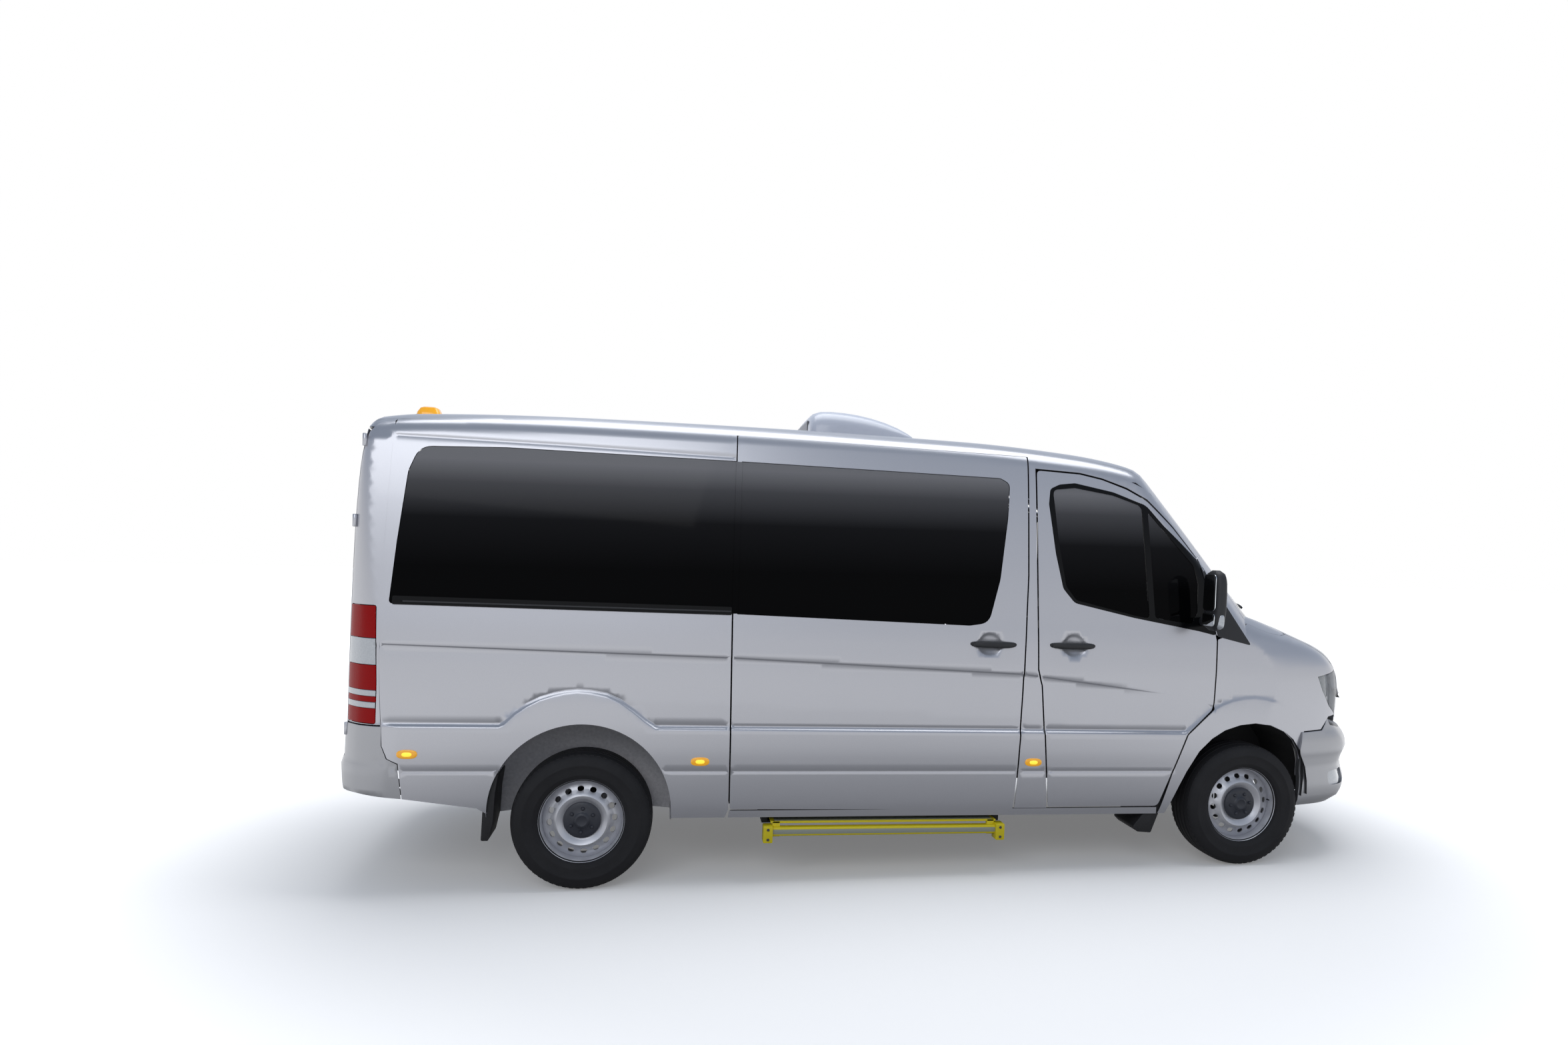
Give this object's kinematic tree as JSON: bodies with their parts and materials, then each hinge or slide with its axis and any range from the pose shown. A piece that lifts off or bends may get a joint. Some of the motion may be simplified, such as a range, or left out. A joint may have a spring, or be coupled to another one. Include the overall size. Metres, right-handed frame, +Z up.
{
  "type": "minibus",
  "caption": "Van-based minibus with sliding side door, twin rear doors, folding side step and steered front wheels on a ladder-framed body.",
  "frame": {"origin": "on the ground, under the middle of the overall length and width", "axes": "+X forward, +Y to the vehicle's left, +Z up"},
  "size_m": [5.9238, 2.41, 2.5765],
  "materials": {
    "silver_paint": "metallic silver two-coat car paint, clear lacquer",
    "glass": "dark tinted toughened glass",
    "screen_glass": "laminated windscreen glass",
    "bumper_plastic": "body-coloured and grained moulded plastic",
    "black_plastic": "black moulded plastic",
    "underbody_black": "black chassis wax over primer",
    "lamp_clear": "clear polycarbonate lens over chromed reflectors",
    "lamp_red": "red and clear acrylic lamp lens",
    "amber_lens": "amber polycarbonate",
    "rubber": "black rubber sheet",
    "white_grp": "gel-coated moulding",
    "yellow_paint": "yellow powder coat",
    "engine_metal": "cast iron and aluminium",
    "galvanised": "aluminised steel",
    "dash_plastic": "grained dark grey moulding",
    "seat_fabric": "woven seat cloth",
    "tyre": "tyre rubber",
    "wheel_silver": "silver-painted pressed steel",
    "tank_plastic": "blow-moulded polyethylene"
  },
  "bodies": {
    "body": {"floor_pan": "dash_plastic", "chassis_frame": "underbody_black", "right_side_panel": "silver_paint", "left_side_panel": "silver_paint", "roof_panel": "silver_paint", "rear_door_frame": "silver_paint", "windscreen_frame": "silver_paint", "front_wings": "silver_paint", "front_bumper": "bumper_plastic", "grille_panel": "black_plastic", "headlamps": "lamp_clear", "windscreen": "screen_glass", "side_windows": "glass", "sliding_door": "silver_paint", "sliding_door_rail": "black_plastic", "tail_lamps": "lamp_red", "rear_bumper": "bumper_plastic", "mud_flaps": "rubber", "roof_air_conditioner": "white_grp", "amber_beacon": "amber_lens", "side_step_housing": "black_plastic", "front_subframe": "underbody_black", "rear_axle": "underbody_black", "engine_block": "engine_metal", "exhaust": "galvanised", "fuel_tank": "tank_plastic", "dashboard": "dash_plastic", "cab_seats": "seat_fabric", "passenger_seats": "seat_fabric"},
    "front_door_right": {"front_door_right": "silver_paint", "front_door_window_right": "glass", "mirror_right": "black_plastic"},
    "front_door_left": {"front_door_left": "silver_paint", "front_door_window_left": "glass", "mirror_left": "black_plastic"},
    "rear_door_right": {"rear_door_right": "silver_paint", "rear_door_window_right": "glass"},
    "rear_door_left": {"rear_door_left": "silver_paint", "rear_door_window_left": "glass"},
    "bonnet": {"bonnet": "silver_paint"},
    "side_step": {"side_step_tread": "yellow_paint"},
    "knuckle_right": {"knuckle_right": "underbody_black"},
    "knuckle_left": {"knuckle_left": "underbody_black"},
    "wheel_front_right": {"tyre_front_right": "tyre", "rim_front_right": "wheel_silver"},
    "wheel_front_left": {"tyre_front_left": "tyre", "rim_front_left": "wheel_silver"},
    "wheel_rear_right": {"tyre_rear_right": "tyre", "rim_rear_right": "wheel_silver"},
    "wheel_rear_left": {"tyre_rear_left": "tyre", "rim_rear_left": "wheel_silver"}
  },
  "joints": [
    {"name": "steering_right", "type": "hinge", "parent": "body", "child": "knuckle_right", "pos_m": [1.943, -0.768, 0.35], "axis": [0, 0, 1], "range_deg": [-35, 35]},
    {"name": "steering_left", "type": "hinge", "parent": "body", "child": "knuckle_left", "pos_m": [1.943, 0.768, 0.35], "axis": [0, 0, 1], "range_deg": [-35, 35]},
    {"name": "wheel_front_right_spin", "type": "hinge", "parent": "knuckle_right", "child": "wheel_front_right", "pos_m": [1.943, -0.858, 0.35], "axis": [0, 1, 0], "continuous": true},
    {"name": "wheel_front_left_spin", "type": "hinge", "parent": "knuckle_left", "child": "wheel_front_left", "pos_m": [1.943, 0.858, 0.35], "axis": [0, 1, 0], "continuous": true},
    {"name": "wheel_rear_right_spin", "type": "hinge", "parent": "body", "child": "wheel_rear_right", "pos_m": [-1.722, -0.858, 0.35], "axis": [0, 1, 0], "continuous": true},
    {"name": "wheel_rear_left_spin", "type": "hinge", "parent": "body", "child": "wheel_rear_left", "pos_m": [-1.722, 0.858, 0.35], "axis": [0, 1, 0], "continuous": true},
    {"name": "front_door_right_hinge", "type": "hinge", "parent": "body", "child": "front_door_right", "pos_m": [1.745, -0.991, 0.97181], "axis": [0.0162, 0, 0.9999], "range_deg": [0, 70]},
    {"name": "front_door_left_hinge", "type": "hinge", "parent": "body", "child": "front_door_left", "pos_m": [1.745, 0.991, 0.97181], "axis": [-0.0162, 0, -0.9999], "range_deg": [0, 70]},
    {"name": "rear_door_right_hinge", "type": "hinge", "parent": "body", "child": "rear_door_right", "pos_m": [-2.84864, -0.836, 1.44643], "axis": [0.0162, 0, 0.9999], "range_deg": [0, 180]},
    {"name": "rear_door_left_hinge", "type": "hinge", "parent": "body", "child": "rear_door_left", "pos_m": [-2.84864, 0.836, 1.44643], "axis": [-0.0162, 0, -0.9999], "range_deg": [0, 180]},
    {"name": "bonnet_hinge", "type": "hinge", "parent": "body", "child": "bonnet", "pos_m": [2.28465, 0, 1.3771], "axis": [0, -1, 0], "range_deg": [0, 50]},
    {"name": "side_step_slide", "type": "slide", "parent": "body", "child": "side_step", "axis": [0, -1, 0], "range_m": [0, 0.25]}
  ],
  "couplings": [
    {"joint": "steering_left", "follows": "steering_right", "ratio": 1}
  ]
}
